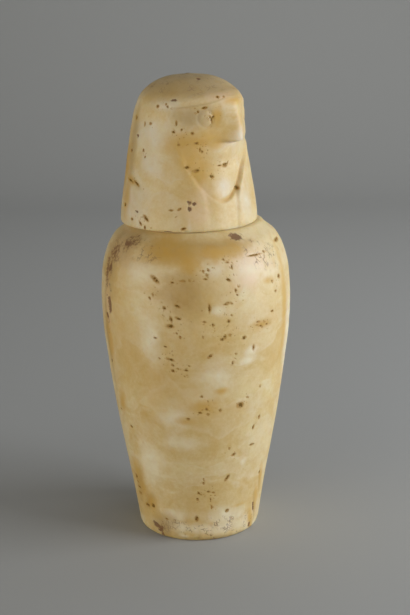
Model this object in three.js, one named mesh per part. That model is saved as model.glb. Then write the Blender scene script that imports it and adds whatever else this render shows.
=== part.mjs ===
// Canopic jar with a falcon-head lid, carved stone. Millimetres, +Z up.
// The jar's own axis is the Z axis and its foot stands on Z = 0.
// The head looks along -Y; its right side is -X.
import * as THREE from 'three';

// ---- driving sizes -------------------------------------------------------
const GAP = 0.3;            // between the lid and the rim it rests on

// jar, outside: [height, radius]
const JAR_HEIGHT = 277.5;
const JAR_OUTSIDE = [
  [3, 54.6], [40, 60.2], [80, 67.2], [120, 73.8], [160, 79.0], [190, 82.0],
  [212, 82.6], [235, 81.3], [252, 77.4], [266, 70.4], [JAR_HEIGHT - 3.5, 60.8],
];
const FOOT_RADIUS = 53.2;
const RIM_RADIUS = 56.8;
// jar, inside: [height, radius]
const FLOOR_TOP = 22;
const MOUTH_RADIUS = 46;
const JAR_INSIDE = [
  [27, 36], [40, 45.4], [80, 53.2], [120, 59.8], [160, 65.0], [190, 67.8],
  [212, 68.2], [235, 66.6], [250, 60.5], [262, 50.0],
];
const JAR_SEGMENTS = 64;

// lid
const LID_SHIFT = [-3.9, 2.8];     // the lid sits a little off the jar's axis
const LID_BOTTOM = JAR_HEIGHT + GAP;
const LID_TOP = 401.2;
const PLUG_RADIUS = 40.4;
const PLUG_DEPTH = 10;
const EDGE_ROUND = 1.6;            // worn lower edge

// body of the wig: [height, radius]
const WIG = [
  [LID_BOTTOM, 59.0], [286, 58.6], [302, 56.6], [312, 54.9], [322, 53.4],
  [332, 52.1], [343, 50.3], [353, 48.9], [363, 47.2], [370, 46.4], [378, 44.3],
  [383, 42.3], [388, 38.8], [392.6, 33.4], [396.6, 26.2], [399.4, 17.4], [LID_TOP, 0],
];
// how far the section's centre lies forward of the lid's axis: [height, shift]
const FORWARD = [[355, 0], [364, 0.8], [373, 2.4], [383, 3.6], [LID_TOP, 4.2]];

// the forehead's extra fullness: [height, amount]
const FULLNESS = [[352, 0], [364, 1.6], [376, 4.2], [383, 5.2], [389, 4.8], [395, 2.8], [LID_TOP, 0]];

// carved front. Bearings are degrees from straight ahead, + to its left.
const FACE_BEARING = 13;
const FRONT_TURN = [[300, -4], [326, -4], [337, 0], [348, 10], [LID_TOP, FACE_BEARING]];
const FRONT_HALF = [[296, 16], [304, 17], [317, 24.5], [337, 40], [356, 63.5], [LID_TOP, 66]];
const FRONT_RADIUS = [   // radius of the front line of face, chin and throat
  [301, 48.5], [306, 50.6], [313, 51.6], [326, 51.2], [332, 49.6], [340, 50.6],
  [352, 50.2], [362, 50.0], [370, 49.8], [379, 50.8], [384, 50.8],
];
const SIDE_DEPTH = [     // how deep the groove beside the front lies under the wig
  [296, 2.2], [303, 2.4], [310, 2.6], [320, 2.5], [337, 1.6], [350, 1.0], [362, 0.5], [LID_TOP, 0.5],
];
const NEAR_WEAR = 0.3;   // the side rubbed most keeps this share of its depth
const FACE_ROUND = [     // 0 flat cheeks meeting in a corner, 1 fully rounded
  [326, 0.7], [334, 0.6], [346, 0.8], [354, 1], [LID_TOP, 1],
];
const FACE_FALL = [      // where a rounded face starts to fall away, as a share of its half-width
  [350, 0.3], [362, 0.2], [370, 0.1], [377, 0.0], [384, -0.1],
];
const FAR_FLAT = 0.8, FAR_FLAT_BEARING = 54, FAR_FLAT_HEIGHT = 335; // a rubbed place on the far lappet
const THROAT_RADIUS = 21, THROAT_CENTRE = 30.7;
const THROAT_FOOT = 300.5, THROAT_FOOT_RISE = 9;
const CHANNEL_FAR = 1.15, CHANNEL_NEAR = 0.1;   // depth of the channel round the throat
const PANEL_DEPTH = 1.5;
const EDGE_SOFT = [[290, 3.0], [301, 2.4], [310, 1.7], [335, 2.4], [350, 6.0], [364, 9]]; // half-width, degrees
const LAPPET_ROLL = 0.1;           // raised soft edge of the wig's lappets

const BROW_MID = 384.0, BROW_SIDE = 377.0;
const BAND_HEIGHT = 5.2, BAND_RAISE = 0.9;

const BEAK_TIP = 348.4;
const BEAK_RIDGE = [ // [height, radius of the ridge]
  [BEAK_TIP - 0.4, 57.6], [351, 59.2], [358, 59.0], [366, 57.4], [374, 54.9], [383, 53.0],
];
const BEAK_HALF_WIDTH = [[BEAK_TIP, 20.0], [360, 20.0], [372, 17.5], [383, 14.0]];
const BEAK_BLUNT = 3.2;
const BEAK_HOOK = 1.6;             // the underside rises from the tip to the cheek

const EYE_BEARING = 30.5, EYE_HEIGHT = 368.4, EYE_RADIUS = 5.3, EYE_RING = 7.2;
const EYE_RAISE = 0.6, EYE_GROOVE = 0.4, EYE_HOLLOW = 0.6;

// ---- helpers -------------------------------------------------------------
const rad = THREE.MathUtils.degToRad;
const clamp01 = (x) => Math.min(1, Math.max(0, x));
const smooth = (a, b, x) => { const t = clamp01((x - a) / (b - a)); return t * t * (3 - 2 * t); };
const mix = (a, b, t) => a + (b - a) * t;
const bump = (x, w) => Math.exp(-(x * x) / (w * w));

// smooth curve through [x, y] knots: cubic with limited slopes, flat outside
function along(knots, x) {
  const n = knots.length;
  if (x <= knots[0][0]) return knots[0][1];
  if (x >= knots[n - 1][0]) return knots[n - 1][1];
  let i = 0;
  while (x > knots[i + 1][0]) i += 1;
  const chord = (k) => (knots[k + 1][1] - knots[k][1]) / (knots[k + 1][0] - knots[k][0]);
  const slope = (k) => {
    if (k === 0) return chord(0);
    if (k === n - 1) return chord(n - 2);
    const a = chord(k - 1), b = chord(k);
    return a * b <= 0 ? 0 : (2 * a * b) / (a + b);
  };
  const h = knots[i + 1][0] - knots[i][0], t = (x - knots[i][0]) / h;
  const t2 = t * t, t3 = t2 * t;
  return (2 * t3 - 3 * t2 + 1) * knots[i][1] + (t3 - 2 * t2 + t) * h * slope(i)
    + (3 * t2 - 2 * t3) * knots[i + 1][1] + (t3 - t2) * h * slope(i + 1);
}

// greater of two, eased over a width k
const easedMax = (a, b, k) => {
  const h = clamp01(0.5 + (a - b) / (2 * k));
  return mix(b, a, h) + k * h * (1 - h);
};

// ---- jar -----------------------------------------------------------------
function jarGeometry() {
  const points = [new THREE.Vector2(0, 0), new THREE.Vector2(FOOT_RADIUS, 0)];
  const outsideHeights = [3, 20, 45, 75, 105, 135, 162, 185, 205, 222, 238, 250, 260, 268, JAR_HEIGHT - 3.5];
  for (const z of outsideHeights) points.push(new THREE.Vector2(along(JAR_OUTSIDE, z), z));
  points.push(new THREE.Vector2(RIM_RADIUS, JAR_HEIGHT));
  points.push(new THREE.Vector2(MOUTH_RADIUS, JAR_HEIGHT));
  const insideHeights = [265, 256, 242, 220, 190, 140, 90, 45, 27];
  for (const z of insideHeights) {
    points.push(new THREE.Vector2(z > 262 ? MOUTH_RADIUS : along(JAR_INSIDE, z), z));
  }
  points.push(new THREE.Vector2(0, FLOOR_TOP));
  const g = new THREE.LatheGeometry(points, JAR_SEGMENTS);
  g.rotateX(Math.PI / 2);            // the profile's height becomes +Z
  return g;
}

// ---- lid -----------------------------------------------------------------
function wigRadius(bearing, z) {
  const forward = along(FORWARD, z), r = along(WIG, z);
  const c = Math.cos(rad(bearing)), s = Math.sin(rad(bearing));
  const full = along(FULLNESS, z) * Math.pow(Math.max(Math.cos(rad(bearing - FACE_BEARING)), 0), 9);
  // circle of radius r whose centre lies `forward` ahead of the axis
  return forward * c + Math.sqrt(Math.max(r * r - forward * forward * s * s, 0)) + full;
}

function throatRadius(off) {
  const s = THROAT_CENTRE * Math.sin(rad(off));
  const inside = THROAT_RADIUS * THROAT_RADIUS - s * s;
  return inside <= 0 ? 0 : THROAT_CENTRE * Math.cos(rad(off)) + Math.sqrt(inside);
}

// surface of face, chin and throat, before the beak and the eyes
function frontRadius(off, z, groove, half) {
  const f = along(FRONT_RADIUS, z);
  const a = rad(Math.min(off, half)), h = rad(half);
  const flat = (f * groove * Math.sin(h)) / (groove * Math.sin(h - a) + f * Math.sin(a));
  const fall = along(FACE_FALL, z);
  const round = mix(f, groove, smooth(fall, fall + 0.85, off / half));
  const face = mix(flat, round, along(FACE_ROUND, z));
  const column = easedMax(throatRadius(off) + (f - THROAT_CENTRE - THROAT_RADIUS), groove, 2.5);
  return mix(column, face, smooth(324, 338, z));
}

// lower end of the throat's rounded foot
const throatFoot = (off) => THROAT_FOOT + THROAT_FOOT_RISE * Math.pow(Math.min(off / 17, 1.2), 2);

// channel cut round the throat: 1 along its middle
function throatLine(off, half, z) {
  const below = 1.2 * bump(z - throatFoot(off) - 1.2, 1.7) * (1 - smooth(15, 20, off));
  const beside = bump(off - half + 2.6, 1.9) * smooth(302, 309, z) * (1 - smooth(322, 340, z));
  return Math.max(below, beside);
}

function lidRadius(bearing, z) {
  const wig = wigRadius(bearing, z);
  const turn = along(FRONT_TURN, z), half = along(FRONT_HALF, z);
  const off = Math.abs(bearing - turn), away = bearing - FACE_BEARING;
  const farSide = smooth(-10, 10, bearing - turn);
  const wear = mix(NEAR_WEAR, 1, farSide);
  const groove = wig - along(SIDE_DEPTH, z) * wear;

  // lappets and the wig's edge: 0 on the wig, 1 inside the carved front
  const browHeight = mix(BROW_MID, BROW_SIDE, smooth(8, 58, Math.abs(away)));
  const below = 1 - smooth(browHeight - 0.9, browHeight + 0.9, z);
  const soft = along(EDGE_SOFT, z);
  const inside = (1 - smooth(half - soft, half + soft, off)) * below;
  const roll = LAPPET_ROLL * bump(off - half - 4.2, 3.6) * smooth(298, 306, z) * (1 - smooth(346, 362, z));

  // panel between the lappets, and the throat's rounded foot above it
  const foot = throatFoot(off);
  const upper = frontRadius(off, Math.max(z, 301), groove, half);
  let front = mix(wig - PANEL_DEPTH * wear, upper, smooth(foot - 0.9, foot + 0.9, z));
  front -= mix(CHANNEL_NEAR, CHANNEL_FAR, farSide) * throatLine(off, half, z);

  // band over the forehead, and the step under it
  const band = BAND_RAISE * smooth(browHeight - 0.5, browHeight + 0.8, z)
    * (1 - smooth(browHeight + BAND_HEIGHT - 1, browHeight + BAND_HEIGHT + 3, z))
    * (1 - smooth(18, 40, away)) * smooth(-88, -62, away);
  let r = mix(wig + roll + band, front, inside);
  r -= FAR_FLAT * bump(bearing - FAR_FLAT_BEARING, 24) * bump(z - FAR_FLAT_HEIGHT, 10);

  // beak: a blunt wedge that runs out into the cheeks, with a short level underside
  if (Math.abs(away) < 40 && z > 342 && z < 386) {
    const s = r * Math.sin(rad(away));
    const width = along(BEAK_HALF_WIDTH, z);
    const reach = Math.sqrt(s * s + BEAK_BLUNT * BEAK_BLUNT) - BEAK_BLUNT;
    const height = Math.max(along(BEAK_RIDGE, z) - along(FRONT_RADIUS, z), 0);
    const underside = BEAK_TIP + BEAK_HOOK * smooth(1, 13, Math.abs(s));
    const lip = mix(0.8, 2.8, smooth(5, 17, Math.abs(s)));
    const wedge = height * Math.max(1 - reach / width, 0) ** 2;
    r += wedge * smooth(underside - lip, underside + lip, z) * (1 - smooth(380, 386, z));
  }

  // eyes: a low round ball in a carved ring
  for (const side of [-1, 1]) {
    const dx = r * Math.sin(rad(away - side * EYE_BEARING)), dz = z - EYE_HEIGHT;
    const d = Math.sqrt(dx * dx + dz * dz);
    if (d > 16 || Math.abs(away - side * EYE_BEARING) > 60) continue;
    r -= EYE_HOLLOW * bump(d, 9.5) * inside;
    r += EYE_RAISE * Math.sqrt(Math.max(1 - (d / EYE_RADIUS) ** 2, 0)) * inside;
    r -= EYE_GROOVE * bump(d - EYE_RING + 0.6, 1.0) * inside;
  }
  return r;
}

// columns of the lid's surface follow the lappets' edges and the front's middle
const COLUMN_KNOTS = [
  // [share of the way, bearing as a function of turn and half-width]
  [0, () => -180], [11, (t, h) => t - h - 22], [16, (t, h) => t - h - 3.2],
  [18, (t, h) => t - h + 1.8], [31, (t) => t - 4], [35, (t) => t + 4],
  [48, (t, h) => t + h - 1.8], [50, (t, h) => t + h + 3.2],
  [55, (t, h) => t + h + 22], [66, () => 180],
];
const LID_COLUMNS = 66;
const LID_RINGS = [
  400.7, 399.2, 396.6, 393, 389.4, 386, 383.8, 382.2, 380.4, 377.6, 374.8, 371.8, 368.6, 365.4,
  362, 358.4, 355.6, 353.2, 351.2, 349.6, 346.6, 342.5, 337.5, 332, 326.5, 321, 315.5, 310.5,
  306.5, 303.8, 301.8, 300, 297, 290, 284, LID_BOTTOM + EDGE_ROUND,
];

function columnBearing(j, z) {
  const turn = along(FRONT_TURN, z), half = along(FRONT_HALF, z);
  for (let k = 0; k < COLUMN_KNOTS.length - 1; k += 1) {
    const [a, fa] = COLUMN_KNOTS[k], [b, fb] = COLUMN_KNOTS[k + 1];
    if (j <= b) return mix(fa(turn, half), fb(turn, half), (j - a) / (b - a));
  }
  return 180;
}

function lidGeometry() {
  const n = LID_COLUMNS, vertices = [], faces = [];
  const [cx, cy] = LID_SHIFT;
  const put = (bearing, r, z) => {
    const a = rad(bearing);
    vertices.push(cx + r * Math.sin(a), cy - r * Math.cos(a), z);
    return vertices.length / 3 - 1;
  };
  const rings = [];
  for (const z of LID_RINGS) {
    const ring = [];
    for (let j = 0; j < n; j += 1) {
      const b = columnBearing(j, z);
      ring.push(put(b, lidRadius(b, z), z));
    }
    rings.push(ring);
  }
  // underside and plug
  const lower = [
    [(b) => lidRadius(b, LID_BOTTOM) - EDGE_ROUND, LID_BOTTOM],
    [() => PLUG_RADIUS + 1.2, LID_BOTTOM],
    [() => PLUG_RADIUS, LID_BOTTOM - 1.2],
    [() => PLUG_RADIUS - 1.0, LID_BOTTOM - PLUG_DEPTH],
  ];
  for (const [radius, z] of lower) {
    const ring = [];
    for (let j = 0; j < n; j += 1) {
      const b = columnBearing(j, LID_BOTTOM);
      ring.push(put(b, radius(b), z));
    }
    rings.push(ring);
  }
  const top = vertices.length / 3;
  vertices.push(cx, cy - along(FORWARD, LID_TOP), LID_TOP);
  const bottom = top + 1;
  vertices.push(cx, cy, LID_BOTTOM - PLUG_DEPTH);
  for (let j = 0; j < n; j += 1) {
    const k = (j + 1) % n;
    faces.push(top, rings[0][j], rings[0][k]);
    for (let i = 0; i < rings.length - 1; i += 1) {
      const a = rings[i], b = rings[i + 1];
      faces.push(a[j], b[j], b[k], a[j], b[k], a[k]);
    }
    const last = rings[rings.length - 1];
    faces.push(bottom, last[k], last[j]);
  }
  const g = new THREE.BufferGeometry();
  g.setAttribute('position', new THREE.Float32BufferAttribute(vertices, 3));
  g.setIndex(faces);
  g.computeVertexNormals();
  return g;
}

// ---- the part ------------------------------------------------------------
function piece(name, geometry, colour) {
  const material = new THREE.MeshStandardMaterial({ color: colour, roughness: 0.5, metalness: 0 });
  material.name = `${name}_stone`;
  const mesh = new THREE.Mesh(geometry, material);
  mesh.name = name;
  return mesh;
}

const part = new THREE.Group();
part.name = 'canopic_jar';
part.add(piece('jar', jarGeometry(), 0xd9bd84));
part.add(piece('lid', lidGeometry(), 0xdcc79a));
export default part;
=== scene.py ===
# %% [markdown]
# # A canopic jar with a falcon-head lid
# This lesson dresses a plain solid model of a stone jar and its lid. The real
# jar is turned and hand-rubbed from travertine, a banded honey-coloured stone
# that lets light into its surface. We load the plain model, set a camera and
# soft light, spin finer versions of the two pieces, carve and pit them, and give
# them a stone material that is worked out from their place in space.

import math

import bpy
import numpy as np
from mathutils import Matrix, Vector


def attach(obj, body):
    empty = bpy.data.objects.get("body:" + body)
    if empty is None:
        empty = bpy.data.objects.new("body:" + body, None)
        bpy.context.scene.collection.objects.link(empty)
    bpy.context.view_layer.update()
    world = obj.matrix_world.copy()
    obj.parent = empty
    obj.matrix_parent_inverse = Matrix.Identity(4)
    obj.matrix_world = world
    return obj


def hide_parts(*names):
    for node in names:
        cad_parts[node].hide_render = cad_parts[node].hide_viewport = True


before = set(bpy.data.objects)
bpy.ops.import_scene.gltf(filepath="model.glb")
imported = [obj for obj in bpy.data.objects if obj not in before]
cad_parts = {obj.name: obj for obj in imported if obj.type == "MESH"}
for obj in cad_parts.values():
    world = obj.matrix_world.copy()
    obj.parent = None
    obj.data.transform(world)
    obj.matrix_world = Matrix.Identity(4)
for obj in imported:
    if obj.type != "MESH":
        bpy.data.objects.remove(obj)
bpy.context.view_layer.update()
MM = 0.001
print("pieces in the frame:", sorted(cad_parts))

# %% [markdown]
# ## Where we look from
# The view is a little above the jar's middle and turned 36 degrees, so that
# the head looks past us to the right. The camera stands a metre away with a
# short telephoto lens, which keeps the tall shape from spreading at the foot.
# We build its turn from three simple ones: the heading, the downward pitch
# and a very small roll.

# %% Camera
HEADING, PITCH, ROLL = math.radians(-36), math.radians(15.73), math.radians(-0.8)
CAMERA_AWAY, CAMERA_ASIDE, CAMERA_UP = 1.0, 0.0078, 0.4798
LENS, SENSOR = 69.25, 36
RIGHT = Vector((math.cos(HEADING), math.sin(HEADING), 0))
NEAR = Vector((math.sin(HEADING), -math.cos(HEADING), 0))
UP = Vector((0, 0, 1))


def seen(right, near, up):
    """A place given as it is seen: to the right, towards us and up, in metres."""
    return RIGHT * right + NEAR * near + UP * up


camera = bpy.data.objects.new("camera", bpy.data.cameras.new("camera"))
bpy.context.collection.objects.link(camera)
camera.data.lens = LENS
camera.data.sensor_width = SENSOR
camera.matrix_world = (
    Matrix.Translation(seen(CAMERA_ASIDE, CAMERA_AWAY, CAMERA_UP))
    @ Matrix.Rotation(HEADING, 4, "Z")
    @ Matrix.Rotation(math.pi / 2 - PITCH, 4, "X")
    @ Matrix.Rotation(ROLL, 4, "Z")
)
bpy.context.scene.camera = camera
bpy.context.scene.view_settings.view_transform = "Standard"
print("camera at", tuple(round(v, 3) for v in camera.location))

# %% [markdown]
# ## The table and the light
# A studio table is a sheet of pale paper that lies flat and then curves up
# behind the object, so that no edge shows. A plane whose far edge is extruded
# upwards, with a wide bevel in the fold, is the whole of it.
#
# The light is soft and comes mostly from the right. One large lamp stands
# there, and a long low one warms the near side from the left. A third lights
# only the paper behind, a small one hangs above, and the grey of the
# surroundings lifts the shadows.

# %% Floor
FLOOR_NEAR, FLOOR_FAR, FLOOR_HALF, FLOOR_RISE = 1.6, 2.6, 3.2, 2.4
FLOOR_CURVE, CURVE_STEPS = 1.1, 24
PAPER_COLOUR, PAPER_ROUGHNESS = (0.40, 0.405, 0.395), 0.9


def plain_material(name, colour, roughness):
    """One even colour, for things that are not the object."""
    material = bpy.data.materials.new(name)
    material.use_nodes = True
    shader = material.node_tree.nodes["Principled BSDF"]
    shader.inputs["Base Color"].default_value = (*colour, 1)
    shader.inputs["Roughness"].default_value = roughness
    shader.inputs["Specular IOR Level"].default_value = 0.2
    return material


bpy.ops.object.select_all(action="DESELECT")
bpy.ops.mesh.primitive_plane_add(size=2, location=(0, 0, 0))
floor = bpy.context.object
floor.name = "floor"
for vertex in floor.data.vertices:
    far = vertex.co.y > 0
    vertex.co = seen(
        math.copysign(FLOOR_HALF, vertex.co.x), -FLOOR_FAR if far else FLOOR_NEAR, 0
    )
bpy.ops.object.mode_set(mode="EDIT")
bpy.ops.mesh.select_mode(type="EDGE")
bpy.ops.mesh.select_all(action="DESELECT")
bpy.ops.object.mode_set(mode="OBJECT")
for edge in floor.data.edges:
    middle = sum((floor.data.vertices[i].co for i in edge.vertices), Vector()) / 2
    edge.select = middle.dot(NEAR) < -FLOOR_FAR * 0.9
bpy.ops.object.mode_set(mode="EDIT")
bpy.ops.mesh.extrude_region_move(
    TRANSFORM_OT_translate={"value": (0, 0, FLOOR_RISE)}
)
bpy.ops.object.mode_set(mode="OBJECT")
fold = floor.modifiers.new("fold", "BEVEL")
fold.width, fold.segments = FLOOR_CURVE, CURVE_STEPS
bpy.ops.object.modifier_apply(modifier=fold.name)
bpy.ops.object.shade_smooth()
floor.data.materials.append(plain_material("paper", PAPER_COLOUR, PAPER_ROUGHNESS))
print("floor faces:", len(floor.data.polygons))

# %% Lights
AIM = Vector((0, 0, 0.2))
ROOM_GREY = 0.168


def softbox(name, place, wide, tall, watts, colour=(1, 1, 1), aim=AIM):
    """A rectangular lamp that faces the jar, or the place it is aimed at."""
    lamp = bpy.data.objects.new(name, bpy.data.lights.new(name, "AREA"))
    lamp.data.shape = "RECTANGLE"
    lamp.data.size, lamp.data.size_y = wide, tall
    lamp.data.energy, lamp.data.color = watts, colour
    lamp.location = place
    lamp.rotation_euler = (aim - place).to_track_quat("-Z", "Y").to_euler()
    bpy.context.collection.objects.link(lamp)


softbox(
    "window_right", seen(1.45, 0.30, 0.46), wide=1.0, tall=1.1, watts=22, colour=(0.97, 1, 1.05)
)
softbox(
    "fill_near", seen(-1.4, 1.2, 0.22), wide=1.6, tall=0.4, watts=14.5, colour=(1, 0.93, 0.78)
)
softbox(
    "paper_light", seen(0.8, -0.7, 1.7), wide=2.2, tall=0.6, watts=11.5, aim=seen(0.6, -2.4, 0.6)
)
softbox(
    "room_above", seen(0.6, 0.9, 1.9), wide=1.2, tall=0.8, watts=3.8, aim=seen(0.2, 0.3, 0.0)
)
world = bpy.data.worlds.new("grey_room")
world.use_nodes = True
world.node_tree.nodes["Background"].inputs["Color"].default_value = (1, 1, 1, 1)
world.node_tree.nodes["Background"].inputs["Strength"].default_value = ROOM_GREY
bpy.context.scene.world = world

# %% [markdown]
# ## Helpers for hand-made surfaces
# `ease` is a step with soft ends and `hump` a round hill, and most of the
# carving is a sum of the two.
#
# A hand-rubbed stone is never even. `grain` gives a soft random height for any
# place in space: random numbers sit on the corners of a grid of cubes and are
# eased between them. The seed fixes the numbers, so every run is the same.
#
# `along` draws a smooth curve through a few known sizes, as a maker would
# bend a thin strip through nails. Its slopes are limited, so that it never
# overshoots a size.

# %% Helpers for shape
NOISE_TABLE = 4096


def ease(low, high, x):
    """0 below low, 1 above high, and an eased step between."""
    t = np.clip((x - low) / (high - low), 0, 1)
    return t * t * (3 - 2 * t)


def hump(x, width):
    """1 at zero, falling away smoothly over about one width."""
    return np.exp(-((x / width) ** 2))


def grain(places, cell, seed):
    """Smooth random values from -1 to 1 that change over about one cell."""
    table = np.random.default_rng(seed).uniform(-1, 1, NOISE_TABLE)
    q = places / cell + 1000.0
    corner = np.floor(q).astype(np.int64)
    f = q - corner
    f = f * f * (3 - 2 * f)
    total = np.zeros(len(places))
    for i in (0, 1):
        for j in (0, 1):
            for k in (0, 1):
                key = (
                    (corner[:, 0] + i) * 73856093
                    ^ (corner[:, 1] + j) * 19349663
                    ^ (corner[:, 2] + k) * 83492791
                )
                share = (
                    np.where(i, f[:, 0], 1 - f[:, 0])
                    * np.where(j, f[:, 1], 1 - f[:, 1])
                    * np.where(k, f[:, 2], 1 - f[:, 2])
                )
                total += share * table[key & (NOISE_TABLE - 1)]
    return total


def along(knots, x):
    """A smooth curve through [x, y] knots, level outside them."""
    kx = np.array([k[0] for k in knots], float)
    ky = np.array([k[1] for k in knots], float)
    chord = np.diff(ky) / np.diff(kx)
    slope = np.empty(len(kx))
    slope[0], slope[-1] = chord[0], chord[-1]
    a, b = chord[:-1], chord[1:]
    both = np.where(a + b == 0, 1, a + b)
    slope[1:-1] = np.where(a * b <= 0, 0, 2 * a * b / both)
    x = np.clip(np.asarray(x, float), kx[0], kx[-1])
    i = np.clip(np.searchsorted(kx, x, side="right") - 1, 0, len(kx) - 2)
    h = kx[i + 1] - kx[i]
    t = (x - kx[i]) / h
    return (
        (2 * t**3 - 3 * t**2 + 1) * ky[i]
        + (t**3 - 2 * t**2 + t) * h * slope[i]
        + (3 * t**2 - 2 * t**3) * ky[i + 1]
        + (t**3 - t**2) * h * slope[i + 1]
    )


print("helpers ready:", float(along([[0, 0], [1, 1]], 0.5)))

# %% [markdown]
# ## Turning a profile
# Both pieces start as a profile line that is spun round the upright axis, as
# a potter's template would cut them. One point is left of a small plane, it
# is extruded from size to size along the outline, and the line is spun
# through a full circle. The seam and the points on the axis are merged.

# %% Draw and spin a profile
SAME_PLACE = 0.00002  # vertices closer than this are one


def even_steps(points, step):
    """Points about one step apart along a chain of [radius, height] corners."""
    out = [points[0]]
    for start, end in zip(points[:-1], points[1:]):
        length = math.dist(start, end)
        count = max(1, round(length / step))
        for n in range(1, count + 1):
            t = n / count
            out.append([a + (b - a) * t for a, b in zip(start, end)])
    return out


def evenly_along(radii, heights, step):
    """Points about one step apart along a smooth outline."""
    lengths = np.concatenate([[0], np.cumsum(np.hypot(np.diff(heights), np.diff(radii)))])
    even = np.linspace(0, lengths[-1], int(lengths[-1] / step))
    at_radius, at_height = np.interp(even, lengths, radii), np.interp(even, lengths, heights)
    return np.column_stack([at_radius, at_height]).tolist()


def spun(name, profile, turns):
    """A closed shell from [radius, height] points in mm, spun round the Z axis."""
    bpy.ops.object.select_all(action="DESELECT")
    bpy.ops.mesh.primitive_plane_add(size=0.002, location=(0, 0, 0))
    piece = bpy.context.object
    piece.name = name
    bpy.ops.object.mode_set(mode="EDIT")
    bpy.ops.mesh.merge(type="CENTER")
    bpy.ops.mesh.select_mode(type="VERT")
    bpy.ops.mesh.select_all(action="SELECT")
    bpy.ops.transform.translate(value=(profile[0][0] * MM, 0, profile[0][1] * MM))
    here = profile[0]
    for point in profile[1:]:
        bpy.ops.mesh.extrude_region_move(
            TRANSFORM_OT_translate={
                "value": ((point[0] - here[0]) * MM, 0, (point[1] - here[1]) * MM)
            }
        )
        here = point
    bpy.ops.mesh.select_all(action="SELECT")
    bpy.ops.mesh.spin(
        steps=turns, angle=2 * math.pi, center=(0, 0, 0), axis=(0, 0, 1), dupli=False
    )
    bpy.ops.mesh.select_all(action="SELECT")
    bpy.ops.mesh.remove_doubles(threshold=SAME_PLACE)
    bpy.ops.mesh.normals_make_consistent(inside=False)
    bpy.ops.object.mode_set(mode="OBJECT")
    bpy.ops.object.shade_smooth()
    return piece


def read_places(piece):
    """The piece's vertices in millimetres, one row each."""
    flat = np.empty(len(piece.data.vertices) * 3)
    piece.data.vertices.foreach_get("co", flat)
    return flat.reshape(-1, 3) / MM


def write_places(piece, places):
    """Puts back vertices that were read in millimetres."""
    piece.data.vertices.foreach_set("co", (places * MM).ravel())
    piece.data.update()


def write_layer(piece, name, values):
    """Keeps one number per vertex, for the material to read."""
    layer = piece.data.attributes.new(name, "FLOAT", "POINT")
    layer.data.foreach_set("value", np.clip(values, 0, 1))


# %% [markdown]
# ## Marks on the stone
# Pits, hollows and stains sit at known places, and so do a few painted
# highlights and patches of painted shade. Each is given by its bearing
# round the axis, in degrees from straight ahead, its height, half its width
# and half its height in millimetres, and its tilt in degrees. `blot` returns
# how strongly each vertex lies inside such a mark. A little grain makes its
# edge ragged, and a loose mark is pulled about by broader grain as well.

# %% A ragged mark
class Surface:
    """A piece's vertices with their bearing, height and girth."""

    def __init__(self, places):
        self.places = places
        x, y = places[:, 0], places[:, 1]
        self.bearing = np.degrees(np.arctan2(x, -y))
        self.radius = np.hypot(x, y)
        self.height = places[:, 2]
        self.rough = grain(places, 3.2, 11)
        self.fine = grain(places, 1.4, 12)
        self.broad = 0.6 * grain(places, 24, 13) + 0.5 * grain(places, 10, 14)

    def blot(self, bearing, height, wide, tall, tilt=0, ragged=0.35, soft=0.5, loose=0.0):
        """1 inside the mark and 0 outside, with half-sizes wide and tall."""
        turn = (self.bearing - bearing + 180) % 360 - 180
        across = np.radians(turn) * self.radius
        up = self.height - height
        c, s = math.cos(math.radians(tilt)), math.sin(math.radians(tilt))
        u, v = (across * c + up * s) / wide, (up * c - across * s) / tall
        far = np.sqrt(u * u + v * v) + ragged * (0.7 * self.rough + 0.5 * self.fine)
        far = far + loose * self.broad
        return (1 - ease(1 - soft, 1 + soft, far)) * (np.abs(turn) < 90)


print("mark helper ready")

# %% [markdown]
# ## The jar's body
# The jar swells to a high shoulder, turns in sharply to a low rim, and is
# hollow, with a wall about 14 mm thick. We spin its outside at a fine step,
# because the pits that come next need many small faces. The inside is never
# seen closely, so its step is coarse.

# %% Spin the jar
JAR_STEP = 1.35
JAR_TURNS = 384
RIM_HEIGHT = 277.5
JAR_OUTSIDE = [
    [3, 54.6], [40, 60.2], [80, 67.2], [120, 73.8], [160, 79.0], [190, 82.0],
    [212, 82.6], [235, 81.3], [252, 77.4], [266, 70.4], [274, 60.8],
]
JAR_INSIDE = [
    [27, 36], [40, 45.4], [80, 53.2], [120, 59.8], [160, 65.0], [190, 67.8],
    [212, 68.2], [235, 66.6], [250, 60.5], [262, 50.0],
]
MOUTH_RADIUS, RIM_RADIUS, FLOOR_HEIGHT = 46, 56.8, 22
FOOT_EDGE = [[44, 0], [52.0, 0], [53.4, 0.6], [54.3, 2.0]]
RIM = [
    [58.6, 276.2], [RIM_RADIUS, 277.2], [RIM_RADIUS - 1.5, RIM_HEIGHT],
    [MOUTH_RADIUS + 1, RIM_HEIGHT], [MOUTH_RADIUS, RIM_HEIGHT - 1],
]
WALL_BOTTOM, WALL_TOP = 3.2, 274
UNDER_STEP, EDGE_STEP, RIM_STEP = 12, 1.2, 2.4
INSIDE_RINGS = 26
HAIR = 0.12  # the fine body stays this far inside the plain one


def jar_profile():
    """The outline from the middle of the foot, over the rim, to the inner floor."""
    foot = even_steps([[0, 0], [40, 0]], UNDER_STEP) + even_steps(FOOT_EDGE, EDGE_STEP)
    heights = np.arange(WALL_BOTTOM, WALL_TOP + 0.01, 0.25)
    wall = evenly_along(along(JAR_OUTSIDE, heights), heights, JAR_STEP)
    mouth = [[MOUTH_RADIUS, z] for z in (272, 266)]
    inner = [[float(along(JAR_INSIDE, z)), float(z)] for z in np.linspace(261, 27, INSIDE_RINGS)]
    bottom = [[24, FLOOR_HEIGHT + 1.5], [0, FLOOR_HEIGHT]]
    return foot + wall + even_steps(RIM, RIM_STEP) + mouth + inner + bottom


jar = spun("jar_carved", jar_profile(), JAR_TURNS)
print("jar faces:", len(jar.data.polygons))
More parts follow.
